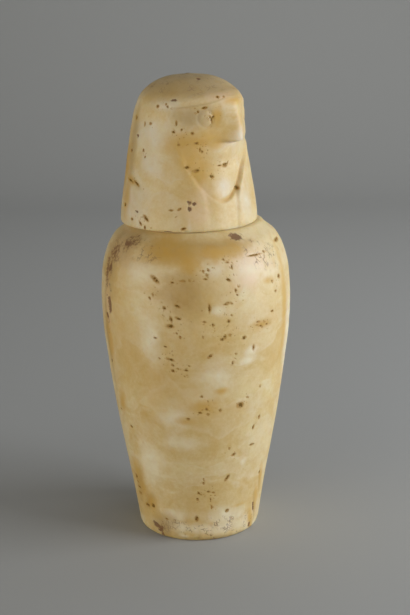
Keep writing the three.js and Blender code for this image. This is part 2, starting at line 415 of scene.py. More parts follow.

# %% [markdown]
# ## Pits in the jar
# Travertine is full of small holes left by plants and gas. On this jar they
# gather in loose clusters down the front, with a few larger ones at the
# shoulder and the foot. The ones that can be told apart are listed by bearing,
# height, half-width, half-height and tilt. Round the back, where they matter
# less, a seeded draw scatters a few more of the same sizes. The hollows and
# the stains are listed in the same way, and so are some painted highlights
# and painted shade: pale patches on the shoulder that stand for soft
# reflections of windows, a pale patch for the sheen on the lit right edge, and
# a tan and amber band just under the lid's edge that is partly stain and
# partly painted shade under the lid.

# %% Where the jar is pitted and stained
JAR_PITS = [
    # shoulder
    (-60, 243, 4.6, 1.6, -35), (38, 263, 5.6, 1.3, 0), (24, 236, 2.0, 1.6, 0), (5, 258, 6.7, 0.7, 0),
    (14, 259, 1.2, 1.0, 0), (16, 234, 1.4, 0.9, 0), (-31, 250, 1.0, 0.8, 0), (-28, 251, 1.0, 0.9, 0),
    (-29, 247, 1.1, 0.9, 0), (-30, 244, 1.3, 0.8, 0), (-43, 243, 2.5, 0.7, 0), (-39, 243, 0.8, 1.0, 0),
    (-49, 241, 1.3, 0.7, 0), (-16, 256, 1.8, 0.6, 0), (-18, 258, 0.9, 0.9, 0),
    (-13, 252, 0.6, 2.6, -15), (-16, 242, 1.8, 0.9, -20),
    # upper wall
    (-61, 230, 0.9, 0.9, 0), (-63, 227, 0.9, 1.6, 30), (-46, 222, 2.6, 1.0, -20),
    (-54, 220, 1.2, 1.2, 0), (-28, 220, 1.0, 3.0, 0), (-18, 223, 2.6, 0.9, 20), (-15, 223, 1.8, 0.7, 0),
    (-12, 233, 1.0, 1.6, 0), (-10, 236, 0.7, 1.1, -30), (-11, 229, 0.8, 0.8, 0),
    (-50, 211, 1.1, 2.6, 10), (-46, 212, 2.6, 0.8, -20), (-31, 209, 1.3, 0.9, 0),
    (-17, 208, 1.3, 1.2, 0), (-15, 213, 0.9, 0.7, 0), (15, 209, 1.6, 0.9, 0), (19, 225, 1.5, 1.0, 0),
    (3, 203, 2.2, 0.7, 0), (-51, 205, 2.8, 1.6, 0), (-47, 199, 0.9, 0.7, 0), (-45, 196, 1.0, 0.9, 0),
    (-26, 206, 0.9, 1.3, 0), (-32, 196, 0.8, 0.8, 0), (-19, 195, 1.1, 1.7, -20),
    (-16, 196, 1.3, 0.9, 0), (-21, 193, 1.4, 0.9, 0), (-7, 192, 1.9, 1.2, 30), (0, 182, 1.2, 2.4, 0),
    (2, 201, 1.3, 0.7, 0), (5, 199.5, 1.4, 0.7, 0), (8, 201.5, 1.5, 0.7, 0), (10, 199, 1.2, 0.7, 0),
    (6, 198, 1.0, 0.7, 0),
    # middle
    (-12, 179, 1.1, 1.0, 0), (-14, 171, 0.8, 2.1, -20), (-28, 179, 2.5, 1.0, 40),
    (-51, 176, 2.8, 1.0, -10), (-50, 171, 1.1, 1.1, 0), (-50, 166, 1.1, 1.0, 0),
    (-47, 168, 0.9, 0.8, 0), (-50, 180, 0.5, 1.0, 0), (-54, 187, 1.1, 0.8, 0), (-60, 194, 1.1, 0.6, 0),
    (-58, 176, 0.9, 0.8, 0), (-42, 167, 1.4, 1.0, 0), (-40, 171, 0.7, 0.6, 0), (-43, 161, 0.6, 0.6, 0),
    (-33, 143, 1.3, 0.9, 0), (-30, 131, 1.1, 1.1, 0), (-34, 128, 1.4, 0.9, 0), (-29, 126, 1.3, 0.9, 0),
    (-21, 129, 1.1, 1.4, 0), (-29, 138, 0.7, 0.7, 0), (-42, 122, 1.6, 1.0, 0), (-7, 131, 2.7, 2.6, -30),
    (-2, 137, 1.2, 0.8, 0), (11, 114, 1.2, 1.7, 0), (6, 106, 1.0, 2.2, -10), (8, 144, 0.9, 1.3, 0),
    (-90, 104, 1.7, 1.0, 0), (-102, 116, 2.1, 0.7, 0),
    # lower wall and foot
    (7, 89, 2.5, 1.0, 0), (-9, 84, 1.9, 1.2, 20), (-13, 91, 0.9, 0.8, 0), (-100, 51, 2.1, 2.2, 0),
    (-99, 46, 1.8, 0.9, 0), (-98, 41, 2.9, 1.0, 0), (-98, 35, 2.9, 1.0, 0), (-80, 29, 1.8, 1.9, 0),
    (-88, 27, 2.7, 1.2, 0), (-66, 19, 1.5, 0.7, 0), (-38, 23, 1.5, 2.4, 0), (-32, 63, 0.8, 0.9, 0),
    (-32, 59, 0.8, 1.0, 0), (-36, 49, 1.0, 1.0, 0), (-37, 43, 1.1, 1.2, 0), (-28, 50, 1.3, 1.0, 0),
    (-24, 49, 1.2, 0.7, 0), (-34, 47, 0.8, 0.6, 0), (-26, 42, 0.5, 1.7, 0), (-25, 34, 0.5, 1.9, 0),
    (-11, 28, 1.7, 1.6, 0), (-13, 62, 1.3, 3.5, -35), (24, 55, 1.2, 1.3, 0),
]
JAR_DUSK = [  # purple-brown hollows: the same five numbers
    (-88, 266, 4.1, 1.6, 15), (-100, 244, 2.9, 3.5, 0), (-98, 213, 3.4, 7.2, 5),
    (-103, 202, 2.8, 2.6, -20), (-3, 273, 7.0, 2.4, -10), (-105, 160, 1.9, 2.2, 0),
    (-79, 9, 5.2, 3.6, -30), (-76, 5, 2.8, 2.0, 0), (-74, 6, 2.4, 4.3, -25), (-73, 2, 2.1, 1.7, 0),
    (22, 21, 1.3, 5.2, 14), (19, 4, 1.9, 2.6, 10),
]
JAR_VEIL = [  # crazed purple-grey skin over the shoulder
    (-86, 266, 12, 6, 25), (-97, 256, 9, 10, 40), (-104, 238, 5, 16, 0),
]
JAR_CRAZE = [(-30, 12, 50, 10, 0), (-70, 262, 16, 8, 0), (12, 258, 22, 12, 0), (-100, 225, 6, 30, 0)]
JAR_ROSE = [(0, 256, 18, 10, 0), (-4, 240, 12, 8, 0), (-92, 258, 16, 10, 0), (-101, 215, 5, 26, 0)]
JAR_TAN = [
    # the marks at bearings -52 and -20 make a band just under the lid's edge, partly stain and partly
    # painted shade under the lid
    (-88, 264, 18, 12, 30), (-100, 248, 12, 22, 0), (-52, 264, 30, 7, 0), (-20, 266, 24, 5, 0),
    (-42, 232, 18, 16, 0), (-72, 9, 12, 11, 0), (-40, 1, 30, 2, 0), (-94, 48, 5, 14, -15),
    (-84, 32, 5, 9, -35), (-105, 190, 3, 40, 0), (27, 45, 1.2, 9, 12), (23, 24, 1.5, 12, 14),
    (6.5, 200.5, 9, 2.6, 0),
]
JAR_AMBER = [
    (6.5, 200.5, 13, 3.8, 0), (-21, 147, 5.2, 2.6, 0), (-32, 132, 11.8, 6.9, 0),
    (-43, 120, 6.8, 3.5, 0), (-96, 59, 8, 10, -15), (-92, 44, 7, 10, -20), (-82, 32, 6, 8, -35),
    (28, 47, 3, 11, 12), (24, 30, 3, 12, 14), (19, 11, 3, 12, 16), (1, 31, 6.3, 1.3, 0),
    # (-56, 268), (-40, 257), (-52, 262) and (-20, 264) make a band just under the lid's edge, partly
    # stain and partly painted shade under the lid
    (-56, 268, 17, 11, 0), (-40, 257, 12, 9, 0), (-101, 178, 6, 18, 0), (-97, 126, 5.2, 11, -18),
    (-52, 262, 32, 9, 0), (-20, 264, 20, 6, 0), (12, 236, 6.3, 2.6, 0), (30, 214, 3.8, 40, 0),
]
JAR_WARM = [  # broad golden ground, laid on thinly
    (-38, 218, 34, 42, 0), (-52, 150, 36, 44, 0), (-92, 200, 24, 50, 0),
]
# pale stone, and painted highlights: the patches high on the shoulder stand for soft reflections of
# windows, and the long one at the right edge for the sheen on the lit side
JAR_PALE_AND_SHEEN = [
    (-28, 162, 6.5, 6.0, 0), (-24, 161, 13, 9, 0), (-3, 171, 6.0, 3.5, 0), (-2, 180, 6.1, 3.5, 0),
    (-65, 15, 4.8, 3.5, 0), (-51, 4, 4.3, 1.7, 0), (-54, 26, 10.6, 4.3, 0), (-13, 24, 14.6, 7.8, 0),
    (0, 75, 3.1, 2.6, 0), (-23, 218, 5.2, 3.5, 0), (-1, 250, 14.3, 8.7, 0), (-26, 257, 10.2, 10.4, 0),
    (-71, 249, 12.4, 6.9, 0), (-52, 122, 12.3, 6.9, 0), (-46, 99, 13.6, 5.2, 0),
    (-63, 192, 7.6, 17.3, 0), (42, 175, 9, 32, 0), (-45, 13, 26, 4, 0), (-14, 12, 20, 4, 0),
    (-76, 70, 10, 26, 0),
]


# how ragged, soft and loose each kind of mark is
PIT = {"ragged": 0.35, "soft": 0.9}
HOLLOW = {"ragged": 0.4, "soft": 0.7}
STAIN_AND_PAINTED_LIGHT = {"ragged": 0.25, "soft": 0.95, "loose": 0.6}


def scatter(seed, count, low, high, bearings):
    """Extra pits round the back: the same kind of list, drawn with a fixed seed."""
    draw = np.random.default_rng(seed)
    marks = []
    while len(marks) < count:
        bearing, height = draw.uniform(*bearings), draw.uniform(low, high)
        for _ in range(int(draw.integers(1, 5))):
            size = draw.uniform(0.7, 1.9)
            marks.append((
                bearing + draw.normal(0, 5), height + draw.normal(0, 6),
                size * draw.uniform(1, 2), size, draw.uniform(-40, 40),
            ))
    return marks


def crowd(surface, marks):
    """High where pits stand close together, which is where dust-fine ones gather."""
    total = np.zeros(len(surface.places))
    for bearing, height, wide, tall, tilt in marks:
        reach = (4 + 3 * wide, 4 + 3 * tall)
        total += surface.blot(bearing, height, *reach, tilt, ragged=0.5, soft=0.95)
    return ease(0.2, 2.2, total)


def union(surface, marks, **how):
    """The strongest of many blots at each vertex."""
    total = np.zeros(len(surface.places))
    for bearing, height, wide, tall, tilt in marks:
        near = np.abs(surface.height - height) < 3 * max(wide, tall) + 3
        if near.any():
            blot = surface.blot(bearing, height, wide, tall, tilt, **how)
            total = np.maximum(total, blot * near)
    return total


print("pits listed:", len(JAR_PITS))

# %% [markdown]
# ## Cutting the marks into the jar
# Each vertex of the outside moves inwards: a little for the long unevenness
# of hand rubbing, more inside pits and hollows, and most where the foot's
# edge is chipped. The same masks are kept on the mesh, one number per vertex,
# so the stone's colour can follow its shape exactly. The lid is weathered by
# the same helpers later on.

# %% Weather the jar
PIT_DEPTH, HOLLOW_DEPTH, CRACK_DEPTH = 0.6, 0.8, 0.3
JAR_CHIP_DEPTH, LID_CHIP_DEPTH = 1.5, 0.9
VEIL_SHARE, WARM_SHARE = 0.62, 0.40


def sunk(pits, hollows):
    """How far pits and hollows go below the skin, in millimetres."""
    return PIT_DEPTH * ease(0.4, 0.9, pits) + HOLLOW_DEPTH * ease(0.3, 0.9, hollows)


def chipped(places, cell, seed, low):
    """Patches about one cell wide, upright in shape, where an edge has flaked."""
    return ease(low, 0.6, grain(places * (1, 1, 0.5), cell, seed))


def press_in(places, radius, depth):
    """Moves each vertex towards the axis by its own depth."""
    places[:, :2] *= (1 - depth / np.maximum(radius, 1))[:, None]


def weather_jar(piece):
    """Wears the outside of the jar and keeps its masks for the material."""
    places = read_places(piece)
    s = Surface(places)
    outside = (s.radius > along(JAR_OUTSIDE, s.height) - 4) | (s.height < 3)
    marks = JAR_PITS + scatter(5, 60, 20, 262, (62, 228))
    pits = union(s, marks, **PIT)
    veil = union(s, JAR_VEIL, **STAIN_AND_PAINTED_LIGHT)
    dusk = np.maximum(union(s, JAR_DUSK, **HOLLOW), VEIL_SHARE * veil)
    craze = np.maximum(veil, union(s, JAR_CRAZE, **STAIN_AND_PAINTED_LIGHT))
    chips = chipped(places, 11, 41, 0.15) * hump(s.height, 5.5) * ease(44, 52, s.radius)
    uneven = 0.22 * (1 + grain(places, 46, 21)) + 0.06 * (1 + grain(places, 9, 22))
    skin = 0.05 * (1 + s.rough) + 0.03 * (1 + s.fine)
    cracks = craze * ease(0.1, 0.6, s.rough + 0.5 * s.fine)
    depth = HAIR + uneven + skin + sunk(pits, dusk)
    depth += CRACK_DEPTH * cracks + JAR_CHIP_DEPTH * chips
    wall = outside & (s.height > 0.3) & (s.height < RIM_HEIGHT - 2.5)
    press_in(places, s.radius, depth * wall * ease(0.3, 3, s.height))
    write_places(piece, places)
    pale = union(s, JAR_PALE_AND_SHEEN, **STAIN_AND_PAINTED_LIGHT)
    warm = WARM_SHARE * union(s, JAR_WARM, **STAIN_AND_PAINTED_LIGHT) * (1 - pale)
    layers = {
        "pit": pits,
        "herd": crowd(s, marks),
        "dusk": dusk,
        "craze": craze,
        "rose": union(s, JAR_ROSE, **STAIN_AND_PAINTED_LIGHT),
        "amber": np.maximum(union(s, JAR_AMBER, **STAIN_AND_PAINTED_LIGHT), warm),
        "pale": pale,
        "tan": union(s, JAR_TAN, **STAIN_AND_PAINTED_LIGHT),
    }
    for name, values in layers.items():
        write_layer(piece, name, values * outside)


weather_jar(jar)
print("jar weathered, top at", round(float(read_places(jar)[:, 2].max()), 2), "mm")

# %% [markdown]
# ## The lid: sizes of the carved head
# The lid is a falcon's head in a long wig. Its outside is one skin round an
# upright axis, so every place on it can be given as a distance from the axis
# for a bearing and a height. The carver's moves become sums and steps of that
# distance: the wig is a cone with a dome, the face is set into it, the beak is
# a wedge added to the face, and the eye is a low ball in a ring.
#
# A list of pairs gives a size at each height. A single number is a height, a
# bearing in degrees or a size in millimetres, as its name says.

# %% Sizes of the lid
LID_BOTTOM, LID_TOP = RIM_HEIGHT + 0.3, 401.2
LID_SHIFT = (-3.9, 2.8)
PLUG_RADIUS, PLUG_DEPTH, EDGE_ROUND = 40.4, 10, 1.6
WIG = [
    [LID_BOTTOM, 59.0], [286, 58.6], [302, 56.6], [312, 54.9], [322, 53.4], [332, 52.1], [343, 50.3],
    [353, 48.9], [363, 47.2], [370, 46.4], [378, 44.3], [383, 42.3], [388, 38.8], [392.6, 33.4],
    [396.6, 26.2], [399.4, 17.4], [LID_TOP, 0],
]
FORWARD = [[355, 0], [364, 0.8], [373, 2.4], [383, 3.6], [LID_TOP, 4.2]]
FULLNESS = [[352, 0], [364, 1.6], [376, 4.2], [383, 5.2], [389, 4.8], [395, 2.8], [LID_TOP, 0]]
FACE_BEARING = 13
FRONT_TURN = [[300, -4], [326, -4], [337, 0], [348, 10], [LID_TOP, 13]]
FRONT_HALF = [[296, 16], [304, 17], [317, 24.5], [337, 40], [356, 63.5], [LID_TOP, 66]]
FRONT_RADIUS = [
    [301, 48.5], [306, 50.6], [313, 51.6], [326, 51.2], [332, 49.6], [340, 50.6], [352, 50.2],
    [362, 50.0], [370, 49.8], [379, 50.8], [384, 50.8],
]
SIDE_DEPTH = [
    [296, 2.2], [303, 2.4], [310, 2.6], [320, 2.5], [337, 1.6], [350, 1.0], [362, 0.5], [LID_TOP, 0.5],
]
NEAR_WEAR = 0.3  # the side rubbed most keeps this share of its depth
CHANNEL_FAR, CHANNEL_NEAR = 1.15, 0.1
FACE_ROUND = [[326, 0.7], [334, 0.6], [346, 0.8], [354, 1], [LID_TOP, 1]]
THROAT_RADIUS, THROAT_CENTRE = 21, 30.7
THROAT_FOOT, THROAT_FOOT_RISE, PANEL_DEPTH = 300.5, 9, 1.5
EDGE_SOFT = [[290, 3.0], [301, 2.4], [310, 1.7], [335, 2.4], [350, 6.0], [364, 9]]
LAPPET_ROLL = 0.1
BROW_MID, BROW_SIDE, BAND_HEIGHT, BAND_RAISE = 384.0, 377.0, 5.2, 0.9
FACE_FALL = [[350, 0.3], [362, 0.2], [370, 0.1], [377, 0.0], [384, -0.1]]
FAR_FLAT, FAR_FLAT_BEARING, FAR_FLAT_HEIGHT = 0.8, 54, 335
BEAK_TIP, BEAK_HOOK, BEAK_BLUNT = 348.4, 1.6, 3.2
BEAK_RIDGE = [[348, 57.6], [351, 59.2], [358, 59.0], [366, 57.4], [374, 54.9], [383, 53.0]]
BEAK_HALF_WIDTH = [[348.4, 20.0], [360, 20.0], [372, 17.5], [383, 14.0]]
EYE_BEARING, EYE_HEIGHT, EYE_RADIUS, EYE_RING = 30.5, 368.4, 5.3, 7.2
EYE_RAISE, EYE_GROOVE, EYE_HOLLOW = 0.6, 0.4, 0.6
print("lid height:", round(LID_TOP - LID_BOTTOM, 1), "mm")


# %% Distance from the axis
def blend(a, b, t):
    """a where t is 0, b where it is 1, and a mix between."""
    return a + (b - a) * t


def eased_max(a, b, width):
    """The larger of two sizes, with the corner between them rounded."""
    h = np.clip(0.5 + (a - b) / (2 * width), 0, 1)
    return blend(b, a, h) + width * h * (1 - h)


def wig_radius(bearing, z):
    """The wig alone: a circle that moves forward as the dome closes."""
    forward, r = along(FORWARD, z), along(WIG, z)
    full = along(FULLNESS, z) * np.maximum(np.cos(np.radians(bearing - FACE_BEARING)), 0) ** 9
    c, s = np.cos(np.radians(bearing)), np.sin(np.radians(bearing))
    return forward * c + np.sqrt(np.maximum(r**2 - (forward * s) ** 2, 0)) + full


def front_radius(off, z, groove, half):
    """Face, chin and throat, before the beak and the eyes."""
    f = along(FRONT_RADIUS, z)
    a, h = np.radians(np.minimum(off, half)), np.radians(half)
    flat = f * groove * np.sin(h) / (groove * np.sin(h - a) + f * np.sin(a))
    rounded = blend(f, groove, ease(0, 0.85, off / half - along(FACE_FALL, z)))
    face = blend(flat, rounded, along(FACE_ROUND, z))
    s = THROAT_CENTRE * np.sin(np.radians(off))
    column = THROAT_CENTRE * np.cos(np.radians(off)) + np.sqrt(np.maximum(THROAT_RADIUS**2 - s**2, 0))
    column = np.where(np.abs(s) < THROAT_RADIUS, column, 0)
    column = eased_max(column + f - THROAT_CENTRE - THROAT_RADIUS, groove, 2.5)
    return blend(column, face, ease(324, 338, z))


def throat_foot(off):
    """The height at which the throat ends, lowest in its middle."""
    return THROAT_FOOT + THROAT_FOOT_RISE * np.minimum(off / 17, 1.2) ** 2


def throat_line(bearing, z):
    """The channel cut round the throat, about 1 along its middle."""
    off = np.abs(bearing - along(FRONT_TURN, z))
    foot = throat_foot(off)
    below = 1.2 * hump(z - foot - 1.2, 1.7) * (1 - ease(15, 20, off))
    beside = hump(off - along(FRONT_HALF, z) + 2.6, 1.9) * ease(302, 309, z) * (1 - ease(322, 340, z))
    return np.maximum(below, beside)


def carved_radius(bearing, z):
    """The whole carved skin of the lid."""
    wig = wig_radius(bearing, z)
    half = along(FRONT_HALF, z)
    off = np.abs(bearing - along(FRONT_TURN, z))
    away = bearing - FACE_BEARING
    far_side = ease(-10, 10, bearing - along(FRONT_TURN, z))
    wear = blend(NEAR_WEAR, 1, far_side)
    groove = wig - along(SIDE_DEPTH, z) * wear
    brow = blend(BROW_MID, BROW_SIDE, ease(8, 58, np.abs(away)))
    below = 1 - ease(brow - 0.9, brow + 0.9, z)
    soft = along(EDGE_SOFT, z)
    inside = (1 - ease(0, 1, (off - half + soft) / (2 * soft))) * below
    roll = LAPPET_ROLL * hump(off - half - 4.2, 3.6) * ease(298, 306, z) * (1 - ease(346, 362, z))
    upper = front_radius(off, np.maximum(z, 301), groove, half)
    above_foot = ease(0, 1, (z - throat_foot(off) + 0.9) / 1.8)
    front = blend(wig - PANEL_DEPTH * wear, upper, above_foot)
    front = front - blend(CHANNEL_NEAR, CHANNEL_FAR, far_side) * throat_line(bearing, z)
    band = BAND_RAISE * ease(0, 1, (z - brow + 0.5) / 1.3)
    band = band * (1 - ease(0, 1, (z - brow - BAND_HEIGHT + 1) / 4))
    band = band * (1 - ease(18, 40, away)) * ease(-88, -62, away)
    r = blend(wig + roll + band, front, inside)
    r = r - FAR_FLAT * hump(bearing - FAR_FLAT_BEARING, 24) * hump(z - FAR_FLAT_HEIGHT, 10)
    # beak
    s = r * np.sin(np.radians(np.clip(away, -80, 80)))
    reach = np.sqrt(s**2 + BEAK_BLUNT**2) - BEAK_BLUNT
    height = np.maximum(along(BEAK_RIDGE, z) - along(FRONT_RADIUS, z), 0)
    under = BEAK_TIP + BEAK_HOOK * ease(1, 13, np.abs(s))
    wedge = height * np.maximum(1 - reach / along(BEAK_HALF_WIDTH, z), 0) ** 2
    lip = blend(0.8, 2.8, ease(5, 17, np.abs(s)))
    wedge = wedge * ease(-1, 1, (z - under) / lip) * (1 - ease(380, 386, z))
    r = r + wedge * (np.abs(away) < 40)
    # eyes
    for side in (-1, 1):
        turn = away - side * EYE_BEARING
        d = np.hypot(r * np.sin(np.radians(np.clip(turn, -80, 80))), z - EYE_HEIGHT)
        near = inside * (d < 16)
        r = r - EYE_HOLLOW * hump(d, 9.5) * near
        r = r + EYE_RAISE * np.sqrt(np.maximum(1 - (d / EYE_RADIUS) ** 2, 0)) * near
        r = r - EYE_GROOVE * hump(d - EYE_RING + 0.6, 1.0) * near
    return r


beak_out = carved_radius(np.array([float(FACE_BEARING)]), np.array([354.0]))[0]
print("the beak stands", round(float(beak_out), 1), "mm out")

# %% [markdown]
# ## Carving the lid
# First the wig's outline is spun, with its plug below, which drops into the
# jar's mouth and keeps the lid from sliding. Then every vertex of the outside
# moves to the carved distance from the axis, and is worn like the jar's. The
# lid sits a little off the jar's middle, so at the end it moves a few
# millimetres aside.

# %% Spin the lid
LID_STEP = 0.92
LID_TURNS = 400


def lid_profile():
    """The outline from the crown down the wig, in under the edge and round the plug."""
    heights = LID_TOP - (LID_TOP - LID_BOTTOM - EDGE_ROUND) * np.linspace(0, 1, 1500) ** 2
    radii = along(WIG, heights)
    radii[0] = 0
    skin = evenly_along(radii, heights, LID_STEP)
    under = [[58.4, LID_BOTTOM + 0.45], [57.2, LID_BOTTOM], [PLUG_RADIUS + 1.2, LID_BOTTOM]]
    end = LID_BOTTOM - PLUG_DEPTH
    plug = [[PLUG_RADIUS, LID_BOTTOM - 1.2], [PLUG_RADIUS - 0.9, end + 1], [PLUG_RADIUS - 2, end]]
    return skin + even_steps(under, RIM_STEP) + plug + [[20, end], [0, end]]


lid = spun("lid_carved", lid_profile(), LID_TURNS)
print("lid faces:", len(lid.data.polygons))

# %% Where the lid is pitted and stained
LID_PITS = [
    # face
    (-13.6, 369.6, 1.7, 0.75, -40), (-10.6, 369.2, 1.3, 0.7, 40), (-12, 366.8, 0.75, 2.0, 8),
    (-19, 377, 2.2, 0.9, 10), (-25, 374, 0.9, 0.9, 0), (-46, 365, 0.7, 1.7, 0), (-41, 360, 0.8, 0.9, 0),
    (-49, 358, 1.3, 0.9, 0), (-31, 357, 1.3, 1.0, 0), (-27, 349, 1.7, 0.9, 0), (-24, 344, 0.8, 1.3, 20),
    (-22, 342, 0.9, 0.9, 0), (-44, 348, 1.2, 0.7, 0),
    # along the near lappet, chin and throat
    (-37, 330, 1.9, 1.1, 0), (-28, 327, 2.5, 1.4, 0), (-14, 322, 2.1, 1.0, -20), (1, 330, 2.7, 1.6, 10),
    (-5, 330, 2.0, 0.5, 0), (5, 331, 2.2, 0.5, 45), (14, 310, 1.7, 1.5, 0),
    # wig
    (-67, 378, 1.5, 1.3, 0), (-57, 380, 0.9, 0.9, 0), (-55, 378, 0.7, 0.9, 0), (-100, 367, 1.6, 1.7, 0),
    (-75, 364, 1.3, 1.0, 0), (-83, 363, 0.9, 1.7, 0), (-103, 340, 1.6, 1.2, 0), (-82, 342, 1.0, 1.3, 0),
    (-79, 337, 0.7, 0.9, 0), (-99, 316, 5.0, 0.8, -10), (-88, 315, 3.6, 0.9, -25),
    (-104, 295, 1.8, 1.2, 0), (-73, 288, 3.2, 1.4, -40), (-79, 283, 0.9, 2.6, 40),
    (-74, 280, 1.0, 1.7, 0), (-90, 285, 1.8, 1.0, 0), (-43, 297, 1.7, 0.9, 30), (-50, 296, 1.7, 0.6, 0),
    (-40, 281, 1.9, 1.1, 20), (-5, 385, 1.2, 0.8, 0), (1, 385, 1.0, 0.7, 0),
]
LID_DUSK = [
    (-93, 353, 1.8, 1.7, -20), (-84, 292, 2.5, 0.9, -10), (-35, 302, 2.1, 1.9, 0),
    (-31, 301, 1.5, 1.5, 0), (-35, 297, 1.8, 1.6, 0), (-53, 278, 4.4, 0.9, 0), (-49, 383, 2.6, 0.9, 0),
    (-14, 398, 1.8, 0.7, 0),
]
LID_AMBER = [
    (-6, 369, 3.2, 5.5, 0), (-27, 323, 7, 8, 0), (-33, 337, 13, 13, 0), (-41, 348, 12, 9, 0),
    (-24, 350, 14, 8, 0), (-22, 331, 11, 10, 0), (-118, 326, 9, 18, 0), (-103, 300, 6, 11, 0),
    (11, 381, 6.2, 2.6, 0), (-10, 347, 7.5, 4.3, 0), (-97, 316, 8, 3, -15),
]
LID_TAN = [
    (-100, 345, 5, 30, 0), (-28, 370, 16, 8, 0), (-97, 317, 7, 2.6, -20), (-88, 314, 6, 2.4, -25),
    (-5, 369, 2.2, 4, 0), (14, 310, 3, 4.5, 0), (-82, 388, 22, 7, 0),
]
LID_PALE = [
    (-74, 355, 14.9, 10.4, 0), (-60, 379, 11.0, 4.3, 0), (-35, 282, 1.3, 5.2, 0), (-72, 331, 10, 8, 0),
    (-2, 313, 8, 8, 0), (22, 300, 9, 18, 0), (14, 352, 4, 7, 0), (-92, 300, 16, 20, 0),
]
LID_ROSE = [(-29, 294, 10.2, 12.1, 0), (-22, 308, 6, 8, 20), (0, 386, 10, 2, 5)]
print("lid pits listed:", len(LID_PITS))


# %% Carve and weather the lid
CROWN_SHARE, CROWN_CRAZE = 0.75, 0.7
GOLD_SHARE, CHANNEL_SHADE_SHARE, TAN_SHARE = 0.9, 0.8, 0.7


def face_gold(s):
    """The golden patch of the cheek, which stops sharply at the near lappet."""
    edge = along([[314, -25], [330, -38], [345, -48], [357, -54]], s.height)
    beside = ease(-1.5, 3, s.bearing - edge + 1.5 * s.broad)
    beside = beside * (1 - ease(-25, -4, s.bearing + 6 * s.broad))
    return beside * ease(314, 325, s.height) * (1 - ease(349, 361, s.height + 5 * s.broad))


def brow_line(s):
    """A tan line just under the edge of the band over the forehead."""
    line = along([[-44, 377], [-16, 380], [7, 384], [24, 383]], s.bearing)
    return hump(s.height - line, 0.8) * ease(-52, -38, s.bearing) * (1 - ease(18, 34, s.bearing))


def carve_lid(piece):
    """Moves the spun lid to its carved shape, wears it and keeps its masks."""
    places = read_places(piece)
    s = Surface(places)
    skin = s.height > LID_BOTTOM + 0.2
    pole = s.radius < 0.05
    target = carved_radius(s.bearing, s.height)
    rounded = s.height < LID_BOTTOM + EDGE_ROUND + 0.01
    edge = np.where(rounded, s.radius - along(WIG, s.height), 0)
    grow = np.where(skin & ~pole, (target + edge) / np.maximum(s.radius, 0.01), 1)
    places[:, :2] *= grow[:, None]
    crown = pole & (s.height > LID_TOP - 1)
    places[crown, 1] = -along(FORWARD, [LID_TOP])[0]

    s = Surface(places)
    marks = LID_PITS + scatter(8, 34, 290, 385, (70, 235))
    pits = union(s, marks, **PIT) * skin
    dusk = union(s, LID_DUSK, **HOLLOW) * skin
    crown_stain = CROWN_SHARE * ease(380, 390.5, s.height + 3.2 * grain(places, 17, 51))
    amber = np.maximum(union(s, LID_AMBER, **STAIN_AND_PAINTED_LIGHT), GOLD_SHARE * face_gold(s))
    # amber painted along the throat's carved channel: painted shade in the groove
    channel = throat_line(s.bearing, s.height) * ease(-25, 0, s.bearing)
    amber = np.maximum(amber, CHANNEL_SHADE_SHARE * channel)
    tan = TAN_SHARE * np.maximum(union(s, LID_TAN, **STAIN_AND_PAINTED_LIGHT), brow_line(s))
    chips = chipped(places, 9, 61, 0.2) * hump(s.height - LID_BOTTOM, 3)
    uneven = 0.16 * (1 + grain(places, 30, 62)) + 0.06 * (1 + grain(places, 7, 63))
    depth = HAIR + uneven + 0.04 * (1 + s.rough) + 0.03 * (1 + s.fine)
    depth += LID_CHIP_DEPTH * chips + sunk(pits, dusk)
    press_in(places, s.radius, depth * skin * ease(0, 14, s.radius))
    places[:, :2] += LID_SHIFT
    write_places(piece, places)
    layers = {
        "pit": pits,
        "herd": crowd(s, marks),
        "dusk": dusk,
        "craze": CROWN_CRAZE * crown_stain,
        "rose": union(s, LID_ROSE, **STAIN_AND_PAINTED_LIGHT),
        "amber": amber,
        "pale": union(s, LID_PALE, **STAIN_AND_PAINTED_LIGHT),
        "tan": np.maximum(crown_stain, tan),
    }
    for name, values in layers.items():
        write_layer(piece, name, values * skin)


carve_lid(lid)
print("lid carved, top at", round(float(read_places(lid)[:, 2].max()), 2), "mm")

# %% [markdown]
# ## Shader maths as plain sums
# A node tree is easier to read as arithmetic. `Wire` wraps one socket, and
# adding, subtracting, multiplying or dividing wires makes the Math nodes. Any
# other node comes from `make`, which takes its type, its settings and its
# inputs.

# %% Wires
# sockets that Blender tells apart by number
MIX_FACTOR, MIX_UNDER, MIX_OVER, MIX_RESULT = 0, 6, 7, 2
OBJECT_PLACE, NOISE_COLOUR, LAYER_NUMBER = 3, 1, 2


